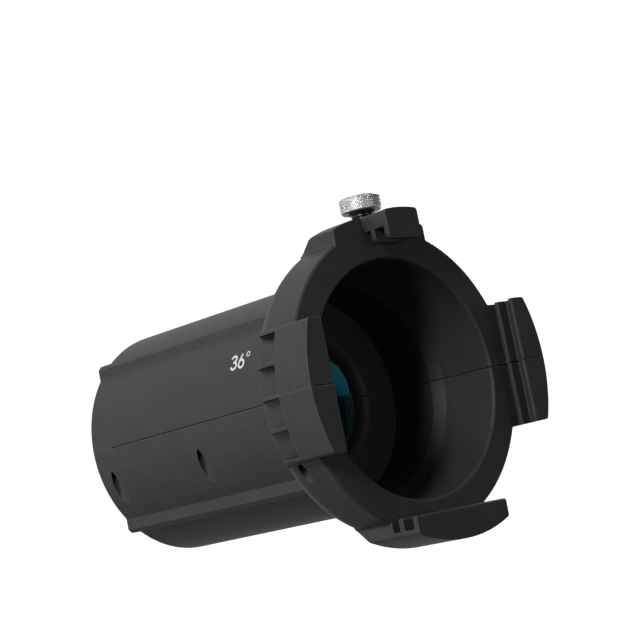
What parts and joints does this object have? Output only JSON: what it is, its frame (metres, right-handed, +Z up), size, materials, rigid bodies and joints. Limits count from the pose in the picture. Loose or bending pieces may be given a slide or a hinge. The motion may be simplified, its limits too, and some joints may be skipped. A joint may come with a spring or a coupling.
{
  "type": "ellipsoidal spotlight lens tube",
  "caption": "Dark moulded lens tube in half shells with a slotted accessory ring, lift-off top keeper and knurled thumb screw, which sets an ellipsoidal spotlight's beam angle.",
  "frame": {"origin": "on the optical axis, in the plane of the ring's front face", "axes": "+Y along the optical axis towards the rear, where light enters; +Z up through the keeper; +X to the right, seen from the front"},
  "size_m": [0.1808, 0.2215, 0.1934],
  "materials": {
    "housing": "fine-grained moulded, semi-matt",
    "keeper": "fine-grained moulded, semi-matt",
    "nickel": "bright nickel with a diamond knurl",
    "zinc_steel": "zinc plated",
    "brass": "turned",
    "coated_glass": "polished, anti-reflection coated",
    "gasket": "moulded silicone",
    "black_aluminium": "black anodised"
  },
  "bodies": {
    "tube": {"upper_shell": "housing", "lower_shell": "housing", "barrel_screws": "zinc_steel", "barrel_screw_washers": "zinc_steel", "barrel_screw_inserts": "brass", "ring_screws": "zinc_steel", "ring_screw_washers": "zinc_steel", "ring_screw_inserts": "brass", "lens_cell": "black_aluminium", "front_lens": "coated_glass", "front_lens_gasket": "gasket", "lens_spacer": "black_aluminium", "rear_lens": "coated_glass", "rear_lens_gasket": "gasket", "lens_snap_ring": "zinc_steel", "keeper_insert": "brass"},
    "keeper": {"keeper": "keeper", "thumb_screw_washer": "zinc_steel"},
    "screw_carriage": {"screw_clip": "zinc_steel"},
    "thumb_screw": {"thumb_screw": "nickel"}
  },
  "joints": [
    {"name": "keeper_lift", "type": "slide", "parent": "tube", "child": "keeper", "axis": [0, 0, 1], "range_m": [0, 0.025]},
    {"name": "screw_travel", "type": "slide", "parent": "keeper", "child": "screw_carriage", "axis": [0, 0, 1], "range_m": [0, 0.0061]},
    {"name": "screw_turn", "type": "hinge", "parent": "screw_carriage", "child": "thumb_screw", "pos_m": [0, 0.01, 0.1], "axis": [0, 0, 1], "range_deg": [0, 2160]}
  ],
  "couplings": [
    {"joint": "screw_travel", "follows": "screw_turn", "m_per_rad": 0.00015915}
  ]
}
